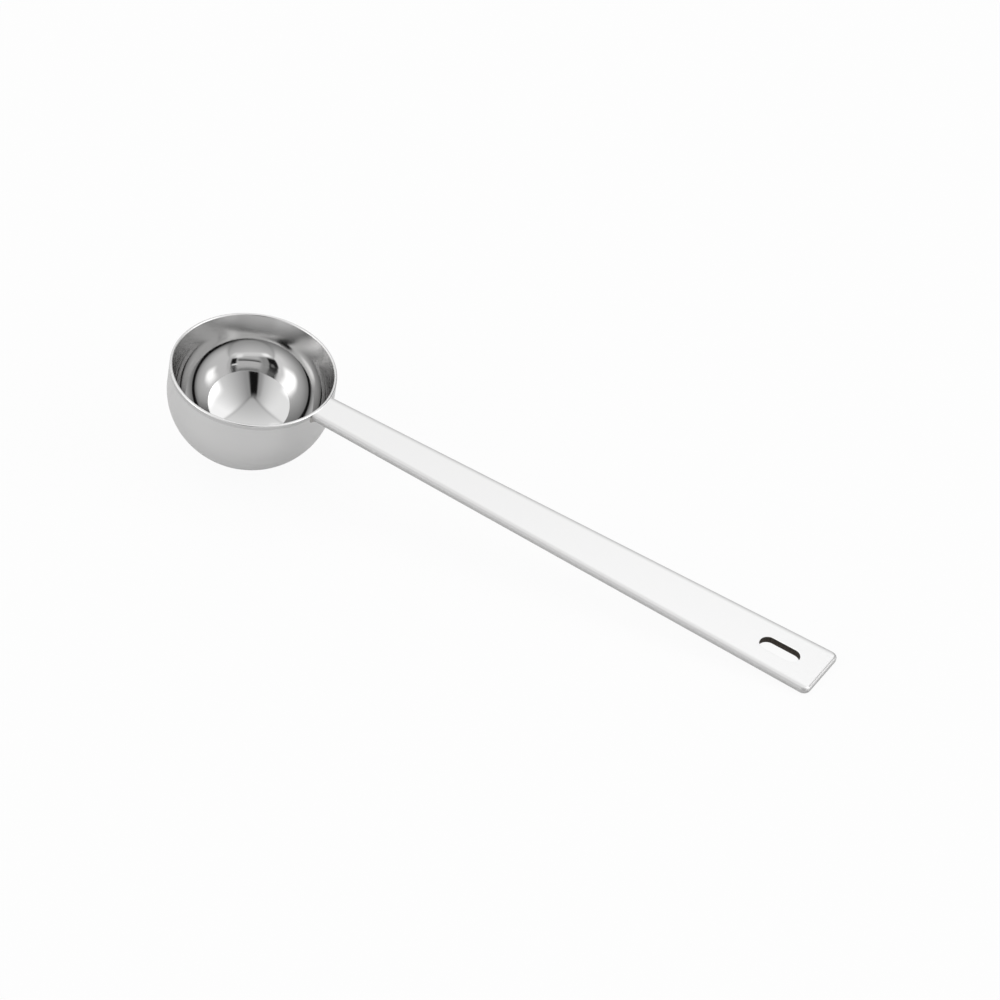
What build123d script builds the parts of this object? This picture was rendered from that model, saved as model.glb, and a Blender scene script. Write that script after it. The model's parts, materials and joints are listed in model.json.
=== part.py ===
from build123d import *
from math import asin, atan2, cos, degrees, hypot, pi, sin, sqrt
import os

os.makedirs("parts", exist_ok=True)

# A long-handled measuring spoon for 30 ml, in millimetres.
# It lies as it rests on a table at Z = 0: on the round bottom of its bowl and on the handle's far end.
# +X runs along the handle, +Z is up, and the origin is under the middle of the spoon.

# Bowl: a drawn steel cup with a short straight wall above a round bottom, a little flatter than a half sphere
bowl_radius = 22.5
bowl_wall = 0.8
straight_depth = 7.5
round_depth_share = 0.925
rim_rounding_share = 0.375

# Handle: a flat steel strip just under the rim, wider towards its end, with a slot to hang it by
handle_reach = 177.0
handle_thickness = 2.0
root_width = 9.8
end_width = 17.4
end_corner = 2.0
edge_rounding_share = 0.4
handle_drop = 0.15
slot_length = 11.6
slot_width = 4.9
slot_to_end = 13.1
slot_rounding_share = 0.15

# Weld: one bead round the sides and the underside of the handle's root
weld_leg = 1.0
weld_toe = 0.15

# The round bottom's depth is a share of the bowl's radius
round_depth = bowl_radius * round_depth_share

# Each edge's rounding is a share of the thickness that it takes off
rim_rounding = bowl_wall * rim_rounding_share
edge_rounding = handle_thickness * edge_rounding_share
slot_rounding = handle_thickness * slot_rounding_share

# How the spoon lies: a line touches the round bottom and the rounded lower edge of the handle's end.
# The lean and the bottom's reach down to that line depend on each other, so both are found in a few rounds.
end_edge_x = handle_reach - edge_rounding
end_edge_z = straight_depth - handle_drop - handle_thickness + edge_rounding
end_edge_distance = hypot(end_edge_x, end_edge_z)
bottom_reach = round_depth
for lean_round in range(10):
    tilt = atan2(end_edge_z, end_edge_x) + asin((bottom_reach - edge_rounding) / end_edge_distance)
    bottom_reach = hypot(bowl_radius * sin(tilt), round_depth * cos(tilt))
rim_height = bottom_reach + straight_depth * cos(tilt)

# The rim's centre stands so that the spoon's two ends are equally far from the origin
bowl_end = -straight_depth * sin(tilt) - hypot(bowl_radius * cos(tilt), round_depth * sin(tilt))
top_edge_z = -handle_drop - edge_rounding
handle_end = end_edge_x * cos(tilt) + top_edge_z * sin(tilt) + edge_rounding
rim_x = -(bowl_end + handle_end) / 2

# The bowl's axis points out of the bowl, and the handle's axis lies in the plane of the rim
bowl_axis = (sin(tilt), 0, cos(tilt))
handle_axis = (cos(tilt), 0, -sin(tilt))
rim_centre = (rim_x, 0, rim_height)
rim_plane = Plane(origin=rim_centre, x_dir=handle_axis, z_dir=bowl_axis)
bowl_section = Plane(origin=rim_centre, x_dir=handle_axis, z_dir=(0, -1, 0))
handle_top = rim_plane.offset(-handle_drop)
bowl_line = Axis(rim_centre, bowl_axis)

inner_radius = bowl_radius - bowl_wall
inner_round_depth = round_depth - bowl_wall
bowl_depth = straight_depth + round_depth
wall_foot = (0, -straight_depth)
quarter_turn = 90

with BuildPart() as bowl:
    with BuildSketch(bowl_section) as bowl_half:
        with BuildLine():
            EllipticalCenterArc(wall_foot, bowl_radius, round_depth, -quarter_turn, arc_size=quarter_turn)
            Line((bowl_radius, -straight_depth), (bowl_radius, 0))
            Line((bowl_radius, 0), (inner_radius, 0))
            Line((inner_radius, 0), (inner_radius, -straight_depth))
            EllipticalCenterArc(wall_foot, inner_radius, inner_round_depth, -quarter_turn, arc_size=quarter_turn)
            Line((0, bowl_wall - bowl_depth), (0, -bowl_depth))
        make_face()
        rim_corners = bowl_half.vertices().group_by(Axis.Y)[-1]
        fillet(rim_corners, rim_rounding)
    revolve(axis=bowl_line)


def handle_width(reach):
    """Width of the handle at a distance from the bowl's axis."""
    root_share = (handle_reach - reach) / (handle_reach - bowl_radius)
    return end_width + (root_width - end_width) * root_share


# The strip starts inside the bowl's outline, and the circle cuts its root to the curve of the wall
strip_start = bowl_radius / 2
strip_start_width = handle_width(strip_start)

with BuildPart() as handle:
    with BuildSketch(handle_top) as strip:
        with BuildLine():
            Polyline(
                (strip_start, strip_start_width / 2),
                (handle_reach, end_width / 2),
                (handle_reach, -end_width / 2),
                (strip_start, -strip_start_width / 2),
                close=True,
            )
        make_face()
        end_corners = strip.vertices().group_by(Axis.X)[-1]
        fillet(end_corners, end_corner)
        Circle(bowl_radius, mode=Mode.SUBTRACT)
        with Locations((handle_reach - slot_to_end, 0)):
            SlotOverall(slot_length, slot_width, mode=Mode.SUBTRACT)
    extrude(amount=-handle_thickness)
    underside, *_, topside = handle.faces().sort_by(bowl_line)
    slot_edges = topside.inner_wires().edges() + underside.inner_wires().edges()
    fillet(slot_edges, slot_rounding)
    underside, *_, topside = handle.faces().filter_by(GeomType.PLANE).sort_by(bowl_line)
    # The edge nearest the bowl is the root's curve, which stays square to meet the wall
    top_edges = topside.outer_wire().edges().sort_by_distance(rim_centre)[1:]
    under_edges = underside.outer_wire().edges().sort_by_distance(rim_centre)[1:]
    fillet(top_edges + under_edges, edge_rounding)

# The bead starts where its widest part meets the round wall, and thins out along the handle
bead_half = root_width / 2 + weld_leg
bead_start = sqrt(bowl_radius**2 - bead_half**2)
bead_end = bowl_radius + weld_leg
toe_width = handle_width(bead_end) + 2 * weld_toe
bead_height = handle_thickness + weld_leg
toe_height = handle_thickness + weld_toe
bead_section = Plane(
    origin=handle_top.from_local_coords((bead_start, 0, 0)), x_dir=(0, 1, 0), z_dir=handle_axis
)

with BuildPart() as weld_bead:
    with BuildSketch(bead_section):
        with Locations((0, -bead_height / 2)):
            RectangleRounded(2 * bead_half, bead_height, edge_rounding)
    with BuildSketch(bead_section.offset(bead_end - bead_start)):
        with Locations((0, -toe_height / 2)):
            RectangleRounded(toe_width, toe_height, edge_rounding)
    loft()
    add(handle.part, mode=Mode.SUBTRACT)
    with BuildSketch(rim_plane):
        Circle(bowl_radius)
    extrude(amount=-bowl_depth, mode=Mode.SUBTRACT)

bowl.part.label = "bowl"
handle.part.label = "handle"
weld_bead.part.label = "weld_bead"
export_step(bowl.part, "parts/bowl.step")
export_step(handle.part, "parts/handle.step")
export_step(weld_bead.part, "parts/weld_bead.step")

cup_volume = pi * inner_radius**2 * (straight_depth + 2 / 3 * inner_round_depth)
print("tilt", degrees(tilt), "degrees, rim centre", rim_centre)
print("brimful", cup_volume / 1000, "ml")
for piece in (bowl, handle, weld_bead):
    print(piece.part.label, piece.part.bounding_box(), "volume", piece.part.volume)
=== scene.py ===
import json
import math

import bmesh
import bpy
from mathutils import Matrix, Vector


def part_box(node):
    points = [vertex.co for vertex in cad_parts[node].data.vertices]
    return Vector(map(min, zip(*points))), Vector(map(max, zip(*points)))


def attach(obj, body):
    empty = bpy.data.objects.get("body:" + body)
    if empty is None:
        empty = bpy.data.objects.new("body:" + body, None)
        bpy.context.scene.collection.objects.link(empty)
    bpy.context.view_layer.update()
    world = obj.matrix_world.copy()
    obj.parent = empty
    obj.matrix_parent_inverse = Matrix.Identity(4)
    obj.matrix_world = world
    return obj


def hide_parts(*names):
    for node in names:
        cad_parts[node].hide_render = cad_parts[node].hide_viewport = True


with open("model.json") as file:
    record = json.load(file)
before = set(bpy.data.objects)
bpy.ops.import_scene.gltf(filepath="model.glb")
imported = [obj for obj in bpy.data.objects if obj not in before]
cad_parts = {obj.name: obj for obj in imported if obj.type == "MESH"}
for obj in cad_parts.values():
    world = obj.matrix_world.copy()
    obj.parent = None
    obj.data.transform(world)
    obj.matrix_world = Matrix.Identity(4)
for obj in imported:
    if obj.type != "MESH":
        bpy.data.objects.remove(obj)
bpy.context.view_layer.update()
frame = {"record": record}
scene = bpy.context.scene
mm = 0.001
print("frame loaded")


# Node trees

class Wire:  # one output of a node, so that sums on it read as sums
    def __init__(self, sheet, socket):
        self.sheet = sheet
        self.socket = socket

    def pick(self, name):
        return Wire(self.sheet, self.socket.node.outputs[name])

    def maths(self, operation, first, second):
        return self.sheet.add("ShaderNodeMath", {"operation": operation}, {0: first, 1: second})

    def __add__(self, other):
        return self.maths("ADD", self, other)

    def __radd__(self, other):
        return self.maths("ADD", other, self)

    def __sub__(self, other):
        return self.maths("SUBTRACT", self, other)

    def __rsub__(self, other):
        return self.maths("SUBTRACT", other, self)

    def __mul__(self, other):
        return self.maths("MULTIPLY", self, other)

    def __rmul__(self, other):
        return self.maths("MULTIPLY", other, self)

    def __truediv__(self, other):
        return self.maths("DIVIDE", self, other)

    def __pow__(self, other):
        return self.maths("POWER", self, other)

    def __lt__(self, other):
        return self.maths("LESS_THAN", self, other)

    def __gt__(self, other):
        return self.maths("GREATER_THAN", self, other)

    def __abs__(self):
        return self.maths("ABSOLUTE", self, 0.0)


class Sheet:  # a node tree while it is being drawn
    def __init__(self, tree):
        self.tree = tree
        tree.nodes.clear()

    def add(self, kind, settings=None, inputs=None, output=0):
        node = self.tree.nodes.new(kind)
        for name, value in (settings or {}).items():
            setattr(node, name, value)
        for key, value in (inputs or {}).items():
            for single in value if isinstance(value, list) else [value]:
                self.plug(node.inputs[key], single)
        return Wire(self, node.outputs[output]) if node.outputs else node

    def plug(self, socket, value):
        if isinstance(value, Wire):
            self.tree.links.new(value.socket, socket)
        else:
            socket.default_value = value

    def smooth(self, value, low, high):  # 0 below low, 1 above high
        return self.add(
            "ShaderNodeMapRange",
            {"interpolation_type": "SMOOTHSTEP"},
            {"Value": value, "From Min": low, "From Max": high},
        )

    def blend(self, factor, first, second):  # numbers
        return first + (second - first) * factor

    def tint(self, factor, first, second):  # colours
        return self.add("ShaderNodeMix", {"data_type": "RGBA"}, {0: factor, 6: first, 7: second}, 2)

    def noise(self, vector, stretch, detail=2.0):  # stretch is how many features there are to a metre
        spread = self.add("ShaderNodeVectorMath", {"operation": "MULTIPLY"}, {0: vector, 1: stretch})
        return self.add("ShaderNodeTexNoise", None, {"Vector": spread, "Scale": 1.0, "Detail": detail})

    def bump(self, height, depth):
        return self.add("ShaderNodeBump", None, {"Height": height, "Distance": depth})


def grey(level, warmth=0.0):
    return (level * (1 + warmth), level, level * (1 - warmth), 1.0)


# Where the spoon lies: its own axes stand at the middle of the bowl's rim

mounts = {mount["name"]: mount for mount in frame["record"]["mounts"]}
bowlAxis = Vector(mounts["handle_face"]["axis"]).normalized()
tilt = math.atan2(bowlAxis.x, bowlAxis.z)
bowlLow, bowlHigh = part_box("bowl")
bowlRadius = (bowlHigh.y - bowlLow.y) / 2

bowl = dict(
    wall=0.8 * mm,
    straightDepth=7.5 * mm,
    roundDepth=0.925 * bowlRadius,
    rimRounding=0.3 * mm,
    segments=256,
    arcRings=72,
    rimRings=8,
    mergeDistance=0.001 * mm,
)

# The round bottom reaches this far out and down from its own centre, leaning as it does
roundReach = Vector((
    math.hypot(bowlRadius * math.cos(tilt), bowl["roundDepth"] * math.sin(tilt)),
    0,
    math.hypot(bowlRadius * math.sin(tilt), bowl["roundDepth"] * math.cos(tilt)),
))
roundCentre = Vector((bowlLow.x, 0, bowlLow.z)) + roundReach
rimCentre = roundCentre + bowlAxis * bowl["straightDepth"]
place = Matrix.Translation(rimCentre) @ Matrix.Rotation(tilt, 4, "Y")
print("tilt", math.degrees(tilt), "rim centre", rimCentre, "radius", bowlRadius)


# Camera

camera = dict(
    lens=187.36,
    sensor=36.0,
    target=(-8.97 * mm, 17.60 * mm, 0.0),
    distance=1392.3 * mm,
    azimuth=31.175,
    elevation=39.074,
    roll=0.663,
    nearest=10 * mm,
)


def makeCamera():
    data = bpy.data.cameras.new("photoCamera")
    data.lens = camera["lens"]
    data.sensor_width = camera["sensor"]
    data.clip_start = camera["nearest"]
    lens = bpy.data.objects.new("photoCamera", data)
    scene.collection.objects.link(lens)
    turn = math.radians(camera["azimuth"])
    rise = math.radians(camera["elevation"])
    back = Vector((math.sin(turn) * math.cos(rise), -math.cos(turn) * math.cos(rise), math.sin(rise)))
    look = (-back).to_track_quat("-Z", "Y").to_matrix().to_4x4()
    roll = Matrix.Rotation(math.radians(camera["roll"]), 4, "Z")
    spot = Vector(camera["target"]) + back * camera["distance"]
    lens.matrix_world = Matrix.Translation(spot) @ look @ roll
    scene.camera = lens


makeCamera()
print("camera placed")


# Steel finishes

def spoonCoordinates(sheet):  # metres from the middle of the rim, along the spoon's own axes
    own = sheet.add("ShaderNodeTexCoord", output="Object")
    return sheet.add(
        "ShaderNodeMapping",
        {"vector_type": "TEXTURE"},
        {"Vector": own, "Location": rimCentre, "Rotation": (0, tilt, 0)},
    )


def steelMaterial(name, finish):  # finish gives the base colour, the roughness and the normal
    material = bpy.data.materials.new(name)
    material.use_nodes = True
    sheet = Sheet(material.node_tree)
    colour, roughness, normal = finish(sheet, spoonCoordinates(sheet))
    inputs = {"Base Color": colour, "Metallic": 1.0, "Roughness": roughness, "Normal": normal}
    shader = sheet.add("ShaderNodeBsdfPrincipled", None, inputs)
    sheet.add("ShaderNodeOutputMaterial", None, {"Surface": shader})
    return material


# Bowl: its half section is turned about its axis by a node tree

polishAndPaintedLight = dict(
    insideColour=grey(0.65, 0.003),
    insideRoughness=(0.03, 0.06),
    bandRoughness=0.18,
    bandDepth=(4.0 * mm, 9.5 * mm),
    insideClouds=(140, 140, 140),
    insideWaves=(90, 90, 260),
    waveDepth=0.6e-6,
    # painted highlight on the rim and painted shade on the lip below it, standing in for the
    # reflections there
    rimHighlightColour=grey(0.75, 0.003),
    lipShadeColour=grey(0.56, 0.003),
    lipRoughness=0.26,
    rimDepth=(0.15 * mm, 0.45 * mm),
    lipDepth=(1.0 * mm, 1.7 * mm),
    outsideColour=grey(0.67, 0.004),
    outsideRoughness=(0.34, 0.42),
    outsideGrain=(60, 60, 3400),
    grainDepth=0.8e-6,
)


def insideFinish(sheet, spot):  # a mirror in the bottom, cloudier towards the rim
    height = sheet.add("ShaderNodeSeparateXYZ", None, {0: spot}, "Z")
    cloudy = sheet.noise(spot, polishAndPaintedLight["insideClouds"], 3.0)
    waves = sheet.noise(spot, polishAndPaintedLight["insideWaves"], 1.0)
    deep = sheet.smooth(0.0 - height, *polishAndPaintedLight["bandDepth"])
    mirror = sheet.blend(cloudy, *polishAndPaintedLight["insideRoughness"])
    roughness = sheet.blend(deep, polishAndPaintedLight["bandRoughness"], mirror)
    return polishAndPaintedLight["insideColour"], roughness, sheet.bump(waves, polishAndPaintedLight["waveDepth"])


def outsideFinishWithPaintedRim(sheet, spot):
    part = sheet.add("ShaderNodeSeparateXYZ", None, {0: spot})
    x, y, z = part, part.pick("Y"), part.pick("Z")
    # The grain runs round the bowl, so it is measured up and down the wall and round the bottom
    across = (x * x + y * y) ** 0.5
    above = z + bowl["straightDepth"]
    dip = part.maths("MAXIMUM", 0.0 - above, 0.0)
    height = part.maths("MAXIMUM", above, 0.0) - part.maths("ARCTAN2", dip, across) * bowlRadius
    round_ = sheet.add("ShaderNodeCombineXYZ", None, {"X": x, "Y": y, "Z": height})
    grain = sheet.noise(round_, polishAndPaintedLight["outsideGrain"], 3.0)
    # The rim is painted paler as a painted highlight, the lip below it is painted darker as a painted
    # shade for the dark reflection under the rim, and the rest is satin
    belowRim = sheet.smooth(0.0 - z, *polishAndPaintedLight["rimDepth"])
    belowLip = sheet.smooth(0.0 - z, *polishAndPaintedLight["lipDepth"])
    lip = sheet.tint(belowRim, polishAndPaintedLight["rimHighlightColour"], polishAndPaintedLight["lipShadeColour"])
    colour = sheet.tint(belowLip, lip, polishAndPaintedLight["outsideColour"])
    satin = sheet.blend(grain, *polishAndPaintedLight["outsideRoughness"])
    roughness = sheet.blend(belowLip, polishAndPaintedLight["lipRoughness"], satin)
    return colour, roughness, sheet.bump(grain * belowLip, polishAndPaintedLight["grainDepth"])


mirrorSteel = steelMaterial("mirror_steel", insideFinish)
satinSteel = steelMaterial("satin_steel", outsideFinishWithPaintedRim)


def treeInput(tree, name, kind, value):
    item = tree.interface.new_socket(name=name, in_out="INPUT", socket_type=kind)
    item.default_value = value
    return item.identifier


def bowlTree():
    tree = bpy.data.node_groups.new("turned_bowl", "GeometryNodeTree")
    sheet = Sheet(tree)
    tree.interface.new_socket(name="Mesh", in_out="OUTPUT", socket_type="NodeSocketGeometry")
    sizes = {
        "Radius": ("NodeSocketFloat", bowlRadius),
        "Wall": ("NodeSocketFloat", bowl["wall"]),
        "Straight Depth": ("NodeSocketFloat", bowl["straightDepth"]),
        "Round Depth": ("NodeSocketFloat", bowl["roundDepth"]),
        "Rim Rounding": ("NodeSocketFloat", bowl["rimRounding"]),
        "Segments": ("NodeSocketInt", bowl["segments"]),
        "Arc Rings": ("NodeSocketInt", bowl["arcRings"]),
        "Rim Rings": ("NodeSocketInt", bowl["rimRings"]),
    }
    named = {name: treeInput(tree, name, kind, 0) for name, (kind, value) in sizes.items()}
    inlet = sheet.add("NodeGroupInput")
    radius, wall, rounding = (inlet.pick(n) for n in ("Radius", "Wall", "Rim Rounding"))
    straight, depth = inlet.pick("Straight Depth"), inlet.pick("Round Depth")
    inner = radius - wall

    def point(across, down):  # on the half section, from the middle of the rim
        return sheet.add("ShaderNodeCombineXYZ", None, {"X": across, "Y": down})

    def arc(rings, size, start, sweep, across, down, flatness=1.0):
        curve = sheet.add(
            "GeometryNodeCurveArc",
            {"mode": "RADIUS"},
            {
                "Resolution": rings,
                "Radius": size,
                "Start Angle": math.radians(start),
                "Sweep Angle": math.radians(sweep),
            },
        )
        scale = sheet.add("ShaderNodeCombineXYZ", None, {"X": 1.0, "Y": flatness, "Z": 1.0})
        spots = {"Geometry": curve, "Translation": point(across, down), "Scale": scale}
        return sheet.add("GeometryNodeTransform", None, spots)

    def line(start, end):
        return sheet.add("GeometryNodeCurvePrimitiveLine", None, {"Start": start, "End": end})

    # The section runs from the outer pole up the outside, over the rim and down the inside, with Y down
    rings, rimRings = inlet.pick("Arc Rings"), inlet.pick("Rim Rings")
    section = [
        arc(rings, radius, 90, -90, 0.0, straight, depth / radius),
        line(point(radius, straight), point(radius, rounding)),
        arc(rimRings, rounding, 0, -90, radius - rounding, rounding),
        line(point(radius - rounding, 0.0), point(inner + rounding, 0.0)),
        arc(rimRings, rounding, -90, -90, inner + rounding, rounding),
        line(point(inner, rounding), point(inner, straight)),
        arc(rings, inner, 0, 90, 0.0, straight, (depth - wall) / inner),
    ]
    joined = sheet.add("GeometryNodeJoinGeometry", None, {"Geometry": section})
    # The rail is a circle as large as the bowl, and the section is measured from it
    moved = {"Geometry": joined, "Translation": point(0.0 - radius, 0.0)}
    measured = sheet.add("GeometryNodeTransform", None, moved)
    circle = {"Resolution": inlet.pick("Segments"), "Radius": radius}
    rail = sheet.add("GeometryNodeCurvePrimitiveCircle", None, circle)
    turned = sheet.add("GeometryNodeCurveToMesh", None, {"Curve": rail, "Profile Curve": measured})
    doubled = {"Geometry": turned, "Distance": bowl["mergeDistance"]}
    welded = sheet.add("GeometryNodeMergeByDistance", None, doubled)
    smooth = sheet.add("GeometryNodeSetShadeSmooth", None, {"Geometry": welded})

    spot = sheet.add("ShaderNodeSeparateXYZ", None, {0: sheet.add("GeometryNodeInputPosition")})
    across = (spot * spot + spot.pick("Y") * spot.pick("Y")) ** 0.5
    below = spot.pick("Z") + straight  # under the equator this is negative
    below = below * (below < 0.0) * radius / depth
    reach = (across * across + below * below) ** 0.5
    isInner = reach < radius - wall * 0.5
    isRim = spot.pick("Z") > 0.0 - rounding
    real = sheet.add("GeometryNodeRealizeInstances", None, {"Geometry": smooth})
    coats = [(True, satinSteel), (isInner, mirrorSteel), (isRim, satinSteel)]
    for selection, material in coats:
        coat = {"Geometry": real, "Selection": selection, "Material": material}
        real = sheet.add("GeometryNodeSetMaterial", None, coat)
    sheet.add("NodeGroupOutput", None, {0: real})
    return tree, {named[name]: value for name, (kind, value) in sizes.items()}


def plainMesh(name, tree, values):
    maker = bpy.data.objects.new(name + "_maker", bpy.data.meshes.new(name + "_maker"))
    scene.collection.objects.link(maker)
    modifier = maker.modifiers.new("nodes", "NODES")
    modifier.node_group = tree
    for identifier, value in values.items():
        modifier[identifier] = value
    graph = bpy.context.evaluated_depsgraph_get()
    mesh = bpy.data.meshes.new_from_object(maker.evaluated_get(graph))
    maker.modifiers.remove(modifier)
    bpy.data.objects.remove(maker)
    mesh.name = name
    return mesh


def addPiece(name, mesh, node):
    piece = bpy.data.objects.new(name, mesh)
    scene.collection.objects.link(piece)
    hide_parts(node)
    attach(piece, "root")
    return piece


tree, values = bowlTree()
bowlMesh = plainMesh("steel_bowl", tree, values)
bowlMesh.transform(place)
addPiece("steel_bowl", bowlMesh, "bowl")
print("bowl turned:", len(bowlMesh.polygons), "faces", [m.name for m in bowlMesh.materials])


# Handle: rings of points run round its outline, one for each step over its rounded edge

handle = dict(
    reach=177.0 * mm,
    thickness=2.0 * mm,
    rootWidth=9.8 * mm,
    endWidth=17.4 * mm,
    endCorner=2.0 * mm,
    topEdge=(0.8 * mm, 0.8 * mm),
    lowEdge=(0.8 * mm, 0.8 * mm),
    drop=0.15 * mm,
    slotLength=11.6 * mm,
    slotWidth=4.9 * mm,
    slotToEnd=13.1 * mm,
    slotTop=(0.06 * mm, 0.06 * mm),
    slotLow=(0.06 * mm, 0.06 * mm),
    flatMargin=0.2 * mm,
    rootRounds=20,
    edgeSteps=8,
    cornerSteps=12,
    sideSteps=80,
    slotSteps=24,
)


# Each long side leans out by this much for every metre away from the bowl
sideSlope = (handle["endWidth"] - handle["rootWidth"]) / 2 / (handle["reach"] - bowlRadius)

brushingAndPaintedLight = dict(
    # painted light: the face grows paler away from the bowl; painted shade: darker along the long sides
    # and at the end
    facePaintedLightColours=(grey(0.90, 0.002), grey(1.0, 0.0)),
    sideShadeColour=grey(0.60, 0.004),
    sideShadeFade=(0.1 * mm, 2.0 * mm),
    endShadeShare=0.4,
    edgeFacing=(0.5, 1.0),
    edgeRoughness=0.58,
    # painted shade for edge faces that turn sideways
    edgeShadeColour=grey(0.57, 0.004),
    roughness=(0.30, 0.37),
    grain=(45, 3000, 3000),
    grainDepth=0.8e-6,
    # painted shade: the slot wall is nearly black for the shade inside the slot
    slotShadeColours=(grey(0.035, 0.10), grey(0.10, 0.16)),
    slotGrain=(3200, 3200, 260),
    slotRoughness=(0.45, 0.65),
    slotDepth=0.004 * mm,
)


def faceFinishWithPaintedLight(sheet, spot):  # painted shade along the long sides and at the end, and painted light making the face paler away from the bowl
    grain = sheet.noise(spot, brushingAndPaintedLight["grain"], 3.0)
    part = sheet.add("ShaderNodeSeparateXYZ", None, {0: spot})
    half = handle["endWidth"] / 2 - (handle["reach"] - part) * sideSlope
    fromEnd = (handle["reach"] - part) / brushingAndPaintedLight["endShadeShare"]
    inset = part.maths("MINIMUM", half - abs(part.pick("Y")), fromEnd)
    # painted shade near the long sides and the end, painted light paler towards the far end
    clear = sheet.smooth(inset, *brushingAndPaintedLight["sideShadeFade"])
    along = sheet.smooth(part, bowlRadius, handle["reach"])
    colour = sheet.tint(clear, brushingAndPaintedLight["sideShadeColour"], sheet.tint(along, *brushingAndPaintedLight["facePaintedLightColours"]))
    roughness = sheet.blend(grain, *brushingAndPaintedLight["roughness"])
    return colour, roughness, sheet.bump(grain, brushingAndPaintedLight["grainDepth"])


def edgeFinishWithPaintedShade(sheet, spot):  # the tumbled edge is rougher the more it faces sideways, and painted darker there as a painted shade for the darker floor it mirrors
    colour, roughness, normal = faceFinishWithPaintedLight(sheet, spot)
    facing = sheet.add("ShaderNodeTexCoord", output="Normal")
    both = {0: facing, 1: bowlAxis}
    level = sheet.add("ShaderNodeVectorMath", {"operation": "DOT_PRODUCT"}, both, "Value")
    flat = sheet.smooth(abs(level), *brushingAndPaintedLight["edgeFacing"])
    roughness = sheet.blend(flat, brushingAndPaintedLight["edgeRoughness"], roughness)
    # painted shade where the edge faces sideways
    return sheet.tint(flat, brushingAndPaintedLight["edgeShadeColour"], colour), roughness, normal


def slotFinishWithPaintedShade(sheet, spot):  # the punched wall, torn from top to bottom, and painted nearly black as a painted shade inside the slot
    torn = sheet.noise(spot, brushingAndPaintedLight["slotGrain"], 2.0)
    # painted shade: nearly black colour for the shade inside the slot
    colour = sheet.tint(torn, *brushingAndPaintedLight["slotShadeColours"])
    roughness = sheet.blend(torn, *brushingAndPaintedLight["slotRoughness"])
    return colour, roughness, sheet.bump(torn, brushingAndPaintedLight["slotDepth"])


faceSteel = steelMaterial("handle_face", faceFinishWithPaintedLight)
edgeSteel = steelMaterial("handle_edge", edgeFinishWithPaintedShade)
slotSteel = steelMaterial("slot_wall", slotFinishWithPaintedShade)


def edgeProfile(topEdge, lowEdge):  # (inset, depth) from the top face over the edge to the underside
    steps, margin, thickness = handle["edgeSteps"], handle["flatMargin"], handle["thickness"]

    def over(wide, high):
        turns = [math.radians(90) * k / steps for k in range(steps + 1)]
        bend = [(wide * (1 - math.sin(q)), high * (1 - math.cos(q))) for q in turns]
        return [(wide + margin, 0.0)] + bend

    return over(*topEdge) + [(inset, thickness - depth) for inset, depth in reversed(over(*lowEdge))]


def handleOutline(inset):  # moved in by inset, from the bowl along one side and back along the other
    lean = math.atan(sideSlope)
    corner = handle["endCorner"]
    cornerX = handle["reach"] - corner
    cornerY = handle["endWidth"] / 2 - sideSlope * corner - corner / math.cos(lean)
    size = corner - inset
    lastX, lastY = cornerX - size * math.sin(lean), cornerY + size * math.cos(lean)
    # The side's line meets the bowl's wall where x*x + y*y is the radius squared
    firstY = lastY
    for _ in range(handle["rootRounds"]):
        firstX = math.sqrt(bowlRadius ** 2 - firstY ** 2)
        firstY = lastY - sideSlope * (lastX - firstX)
    steps, turns = handle["sideSteps"], handle["cornerSteps"]
    first, last = Vector((firstX, firstY)), Vector((lastX, lastY))
    side = [first.lerp(last, k / steps)[:] for k in range(steps)]
    start = math.radians(90) + lean
    bend = [start * (1 - k / turns) for k in range(turns + 1)]
    round_ = [(cornerX + size * math.cos(q), cornerY + size * math.sin(q)) for q in bend]
    far = side + round_
    return [(x, -y) for x, y in far] + list(reversed(far))


def slotOutline(inset):  # moved outwards by inset
    middle = handle["reach"] - handle["slotToEnd"]
    half = (handle["slotLength"] - handle["slotWidth"]) / 2
    size = handle["slotWidth"] / 2 + inset
    steps = handle["slotSteps"]
    turns = [math.radians(-90) + math.radians(180) * k / steps for k in range(steps + 1)]
    right = [(middle + half + size * math.cos(q), size * math.sin(q)) for q in turns]
    left = [(middle - half - size * math.cos(q), -size * math.sin(q)) for q in turns]
    return right + left


def addRings(shape, outline, edges, closed, roundMaterial, wallMaterial):
    rings = []
    profile = edgeProfile(*edges)
    for inset, depth in profile:
        rings.append([shape.verts.new((x, y, -handle["drop"] - depth)) for x, y in outline(inset)])
    count = len(rings[0])
    for k, (upper, lower) in enumerate(zip(rings, rings[1:])):
        upright = profile[k][0] == profile[k + 1][0] == 0.0
        for j in range(count if closed else count - 1):
            after = (j + 1) % count
            face = shape.faces.new((upper[j], upper[after], lower[after], lower[j]))
            face.material_index = wallMaterial if upright else roundMaterial
    return rings


def closeFlat(shape, loops):
    edges = []
    for loop, closed in loops:
        for k in range(len(loop) if closed else len(loop) - 1):
            edges.append((loop[k], loop[(k + 1) % len(loop)]))
    found = [shape.edges.get(pair) or shape.edges.new(pair) for pair in edges]
    bmesh.ops.triangle_fill(shape, use_beauty=True, use_dissolve=False, edges=found)


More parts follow.
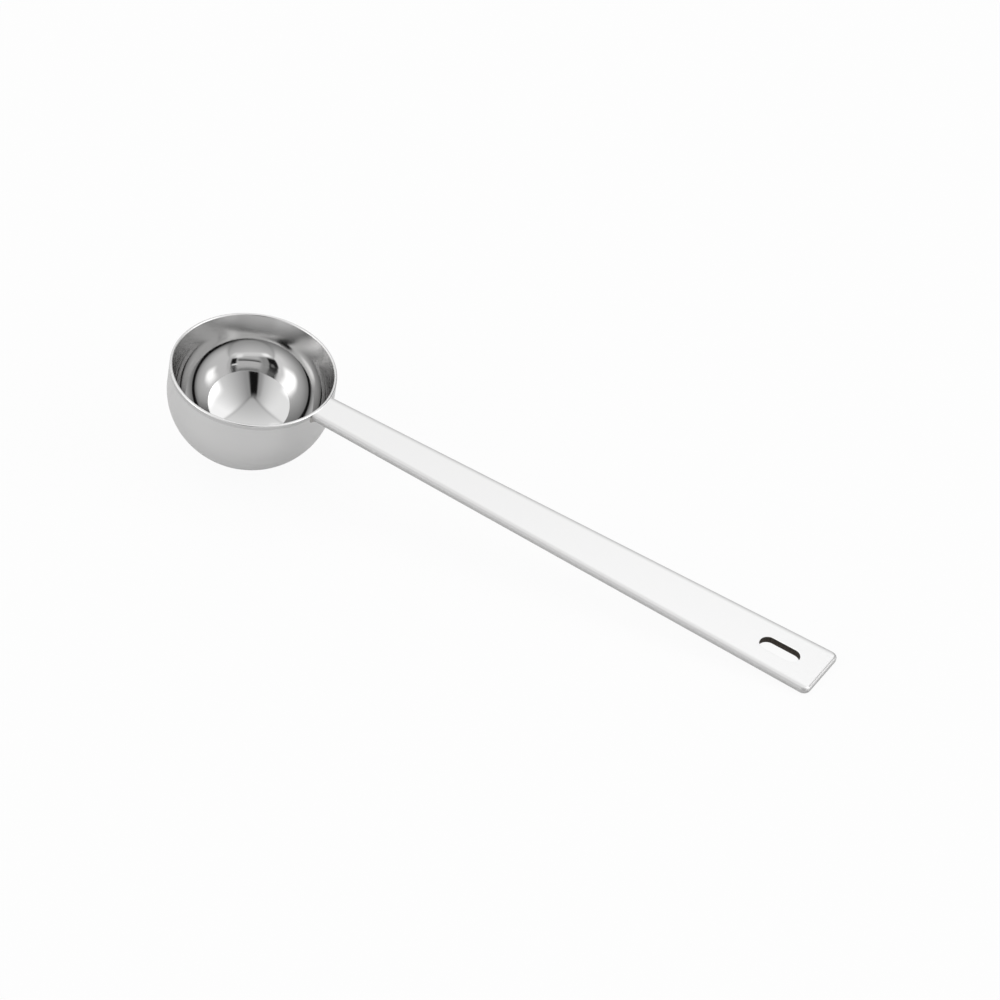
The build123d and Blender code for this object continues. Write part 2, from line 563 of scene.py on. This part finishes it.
def handleMesh():
    shape = bmesh.new()
    outer = addRings(shape, handleOutline, (handle["topEdge"], handle["lowEdge"]), False, 1, 1)
    slot = addRings(shape, slotOutline, (handle["slotTop"], handle["slotLow"]), True, 1, 2)
    for level in (0, -1):
        closeFlat(shape, [(outer[level], True), (slot[level], True)])
    # The root is closed where it meets the wall
    root = [ring[-1] for ring in outer] + [ring[0] for ring in reversed(outer)]
    shape.faces.new(root)
    bmesh.ops.recalc_face_normals(shape, faces=shape.faces)
    for face in shape.faces:
        face.smooth = True
    for face in shape.faces:
        if len(face.verts) > 4:  # the root, which stays square to meet the wall
            for edge in face.edges:
                edge.smooth = False
    mesh = bpy.data.meshes.new("steel_handle")
    shape.to_mesh(mesh)
    shape.free()
    for material in (faceSteel, edgeSteel, slotSteel):
        mesh.materials.append(material)
    mesh.transform(place)
    return mesh


handlePiece = addPiece("steel_handle", handleMesh(), "handle")
print("handle made:", len(handlePiece.data.polygons), "faces")


# Weld: one bead in the corner between the wall and the handle's sides and underside

weld = dict(
    leg=1.0 * mm,
    tipShare=0.35,
    sunk=0.05 * mm,
    hollow=0.6,
    rippleDepth=0.05 * mm,
    rippleLength=0.75 * mm,
    rippleBow=0.35,
    pathSteps=220,
    crossSteps=8,
    fadeShare=0.12,
)

bead = dict(
    colours=(grey(0.30, 0.05), grey(0.55, 0.02)),
    roughness=(0.25, 0.45),
    patches=(700, 700, 700),
    patchDepth=0.004 * mm,
)


def weldFinish(sheet, spot):
    burnt = sheet.noise(spot, bead["patches"], 3.0)
    colour = sheet.tint(burnt, *bead["colours"])
    roughness = sheet.blend(burnt, *bead["roughness"])
    return colour, roughness, sheet.bump(burnt, bead["patchDepth"])


weldSteel = steelMaterial("weld_steel", weldFinish)


def weldPath(share):  # point and outward direction, from one side of the root round below to the other
    half = handle["rootWidth"] / 2
    rounding, thickness = handle["lowEdge"][0], handle["thickness"]
    side = thickness - 2 * rounding
    quarter = math.radians(90) * rounding
    under = 2 * (half - rounding)
    lengths = [side, quarter, under, quarter, side]
    along = share * sum(lengths)
    top = -handle["drop"] - rounding
    low = -handle["drop"] - thickness + rounding
    for index, length in enumerate(lengths):
        if along <= length or index == len(lengths) - 1:
            break
        along -= length
    if index == 0:
        return (-half, top - along), (-1.0, 0.0)
    if index == 1:
        turn = along / rounding
        out = (-math.cos(turn), -math.sin(turn))
        return (-half + rounding + rounding * out[0], low + rounding * out[1]), out
    if index == 2:
        return (-half + rounding + along, low - rounding), (0.0, -1.0)
    if index == 3:
        turn = along / rounding
        out = (math.sin(turn), -math.cos(turn))
        return (half - rounding + rounding * out[0], low + rounding * out[1]), out
    return (half, low + along), (1.0, 0.0)


def weldMesh():
    steps, across = weld["pathSteps"], weld["crossSteps"]
    shape = bmesh.new()
    rings = []
    ripples = (2 * handle["thickness"] + handle["rootWidth"]) / weld["rippleLength"]
    for k in range(steps + 1):
        share = k / steps
        (y, z), (outY, outZ) = weldPath(share)
        fade = min(1.0, share / weld["fadeShare"], (1 - share) / weld["fadeShare"])
        leg = weld["leg"] * (weld["tipShare"] + (1 - weld["tipShare"]) * fade)
        ring = []
        for j in range(across + 1):
            part = j / across
            # from the bowl's wall, part 0, to the handle's face, part 1
            middle = part * (1 - part)
            sag = 1 - weld["hollow"] * middle
            wave = math.sin(2 * math.pi * (share * ripples + weld["rippleBow"] * middle))
            swell = 1 + wave * weld["rippleDepth"] / leg * 4 * middle
            outwards = leg * (1 - part) * sag * swell
            forwards = leg * part * sag * swell
            spotY, spotZ = y + outY * outwards, z + outZ * outwards
            wallX = math.sqrt(bowlRadius ** 2 - spotY ** 2)
            ring.append(shape.verts.new((wallX + forwards - weld["sunk"] * (1 - part), spotY, spotZ)))
        innerY, innerZ = y - outY * weld["sunk"], z - outZ * weld["sunk"]
        innerX = math.sqrt(bowlRadius ** 2 - innerY ** 2) - weld["sunk"]
        ring.append(shape.verts.new((innerX, innerY, innerZ)))
        rings.append(ring)
    count = across + 2
    for before, after in zip(rings, rings[1:]):
        for j in range(count):
            follow = (j + 1) % count
            shape.faces.new((before[j], before[follow], after[follow], after[j]))
    shape.faces.new(rings[0])
    shape.faces.new(list(reversed(rings[-1])))
    bmesh.ops.recalc_face_normals(shape, faces=shape.faces)
    for face in shape.faces:
        face.smooth = True
    mesh = bpy.data.meshes.new("weld_seam")
    shape.to_mesh(mesh)
    shape.free()
    mesh.materials.append(weldSteel)
    mesh.transform(place)
    return mesh


weldPiece = addPiece("weld_seam", weldMesh(), "weld_bead")
print("weld made:", len(weldPiece.data.polygons), "faces")


# Studio: a pale floor in a light tent, whose walls only light and metal see

# Each front wall brightens from near to far with the angle from the facing side, and its top edge
# slopes down from middle
tent = dict(
    facing=camera["azimuth"],
    left=dict(near=0.28, far=1.14, reach=70.0, power=2.0, peak=2.67, middle=52.0),
    right=dict(near=0.25, far=1.38, reach=85.0, power=1.0, peak=2.34, middle=54.0),
    turn=114.0,
    back=0.97,
    backEdge=1.19,
    top=0.90,
    topFall=0.62,
    edgeBlur=1.5,
    seamDip=0.20,
    seamWidth=2.2,
)

# Lit and dark places on the tent, in degrees: where they are from the facing side, their half sizes,
# and how far their edges fade
places = dict(
    slitShade=dict(around=-1, up=20, wide=19, high=42, fade=(11, 10), level=0.40),
    cameraSlit=dict(around=-0.5, up=18, wide=9.6, high=45, fade=(4.6, 13), level=0.01),
    backGlow=dict(around=180, up=61, wide=72, high=9.5, fade=(14, 8), level=1.38),
    glowRight=dict(around=130, up=58.5, wide=18, high=9, fade=(14, 8), level=2.0),
    glowLeft=dict(around=-144, up=53, wide=16, high=12, fade=(12, 10), level=1.75),
    backDim=dict(around=-173, up=35.5, wide=34, high=8, fade=(8, 7), lean=0.134, level=0.62),
    backLine=dict(around=-173, up=31.3, wide=34, high=4.6, fade=(8, 3.4), lean=0.134, level=0.12),
    rightGrey=dict(around=142, up=30, wide=24, high=24, fade=(16, 8), level=0.55),
    rightUpper=dict(around=124, up=34, wide=14.5, high=19, fade=(5, 9), level=0.02),
    rightLower=dict(around=126.5, up=12, wide=14, high=11, fade=(5, 2), level=0.06),
    rightCore=dict(around=128, up=22.5, wide=7, high=8, fade=(5, 4), level=0.28),
    leftDark=dict(around=-132, up=33, wide=10, high=14.5, fade=(5, 5), level=0.02),
    leftDash=dict(around=-134, up=18, wide=9, high=5.5, fade=(4, 2), level=2.0),
    leftLamp=dict(around=-67, up=10, wide=22, high=31, fade=(18, 14), level=2.5),
    rightLamp=dict(around=77, up=10, wide=27, high=31, fade=(18, 18), level=2.7),
)

# The shares say how white the card looks to the camera and to the metal, whatever light falls on it
floor = dict(size=4.0, colour=0.80, white=1.0, cameraShare=0.93, metalShare=0.17)
bounces = dict(all=16, glossy=14)


def makeWorld():
    world = bpy.data.worlds.new("light_tent")
    scene.world = world
    world.use_nodes = True
    sheet = Sheet(world.node_tree)
    degree, halfTurn = math.degrees(1), 180.0
    toward = sheet.add("ShaderNodeTexCoord", output="Generated")
    turned = sheet.add(
        "ShaderNodeMapping",
        {"vector_type": "TEXTURE"},
        {"Vector": toward, "Rotation": (0, 0, math.radians(tent["facing"]))},
    )
    part = sheet.add("ShaderNodeSeparateXYZ", None, {0: turned})
    # After the turn -Y is the facing side and +X is on its right
    x, y, z = part, part.pick("Y"), part.pick("Z")
    around = part.maths("ARCTAN2", x, 0.0 - y) * degree
    up = part.maths("ARCSINE", z, 0.0) * degree

    away = abs(around)
    atBack = away > tent["turn"]

    def frontWall(side):
        rest = part.maths("MAXIMUM", 1.0 - away / side["reach"], 0.0) ** side["power"]
        slope = side["peak"] * part.maths("COSINE", (away - side["middle"]) / degree, 0.0)
        return side["far"] - rest * (side["far"] - side["near"]), slope

    onRight = around > 0.0
    (leftWall, leftSlope), (rightWall, rightSlope) = frontWall(tent["left"]), frontWall(tent["right"])
    wall = sheet.blend(atBack, sheet.blend(onRight, leftWall, rightWall), tent["back"])
    slope = part.maths("MAXIMUM", sheet.blend(onRight, leftSlope, rightSlope), tent["backEdge"])
    over = up - part.maths("ARCTANGENT", slope, 0.0) * degree
    top = tent["top"] + tent["topFall"] * y
    glow = sheet.blend(sheet.smooth(over, -tent["edgeBlur"], tent["edgeBlur"]), wall, top)
    seam = part.maths("EXPONENT", 0.0 - (over * over) / tent["seamWidth"] ** 2, 0.0)
    glow = glow * (1.0 - seam * (1.0 - atBack) * tent["seamDip"])
    for spot in places.values():
        bothWays = {0: around - spot["around"], 1: halfTurn, 2: -halfTurn}
        turnBy = sheet.add("ShaderNodeMath", {"operation": "WRAP"}, bothWays)
        rise = up - spot["up"] - turnBy * spot.get("lean", 0.0)
        fadeWide, fadeHigh = spot["fade"]
        within = 1.0 - sheet.smooth(abs(turnBy), spot["wide"] - fadeWide, spot["wide"])
        level = 1.0 - sheet.smooth(abs(rise), spot["high"] - fadeHigh, spot["high"])
        glow = sheet.blend(within * level, glow, spot["level"])
    seen = sheet.add("ShaderNodeLightPath", output="Is Camera Ray")
    plain = part.maths("MAXIMUM", seen, seen.pick("Is Transmission Ray"))
    shade = sheet.blend(plain, glow, floor["white"])
    plainGrey = sheet.add("ShaderNodeCombineColor", None, {0: shade, 1: shade, 2: shade})
    light = sheet.add("ShaderNodeBackground", None, {"Color": plainGrey})
    sheet.add("ShaderNodeOutputWorld", None, {"Surface": light})


def makeFloor():
    half = floor["size"] / 2
    mesh = bpy.data.meshes.new("floor")
    corners = [(-half, -half, 0), (half, -half, 0), (half, half, 0), (-half, half, 0)]
    mesh.from_pydata(corners, [], [(0, 1, 2, 3)])
    ground = bpy.data.objects.new("floor", mesh)
    scene.collection.objects.link(ground)
    material = bpy.data.materials.new("floor_card")
    material.use_nodes = True
    sheet = Sheet(material.node_tree)
    ray = sheet.add("ShaderNodeLightPath", output="Is Camera Ray")
    mirrored = ray.pick("Is Glossy Ray") + ray.pick("Is Transmission Ray")
    share = ray * floor["cameraShare"] + mirrored * floor["metalShare"]
    card = sheet.add("ShaderNodeBsdfDiffuse", None, {"Color": grey(floor["colour"])})
    white = sheet.add("ShaderNodeEmission", None, {"Color": grey(floor["white"]), "Strength": 1.0})
    shown = sheet.add("ShaderNodeMixShader", None, {0: share, 1: card, 2: white})
    sheet.add("ShaderNodeOutputMaterial", None, {"Surface": shown})
    mesh.materials.append(material)


makeWorld()
makeFloor()
scene.view_settings.view_transform = "Standard"
scene.cycles.max_bounces = bounces["all"]
scene.cycles.glossy_bounces = bounces["glossy"]
print("studio ready")
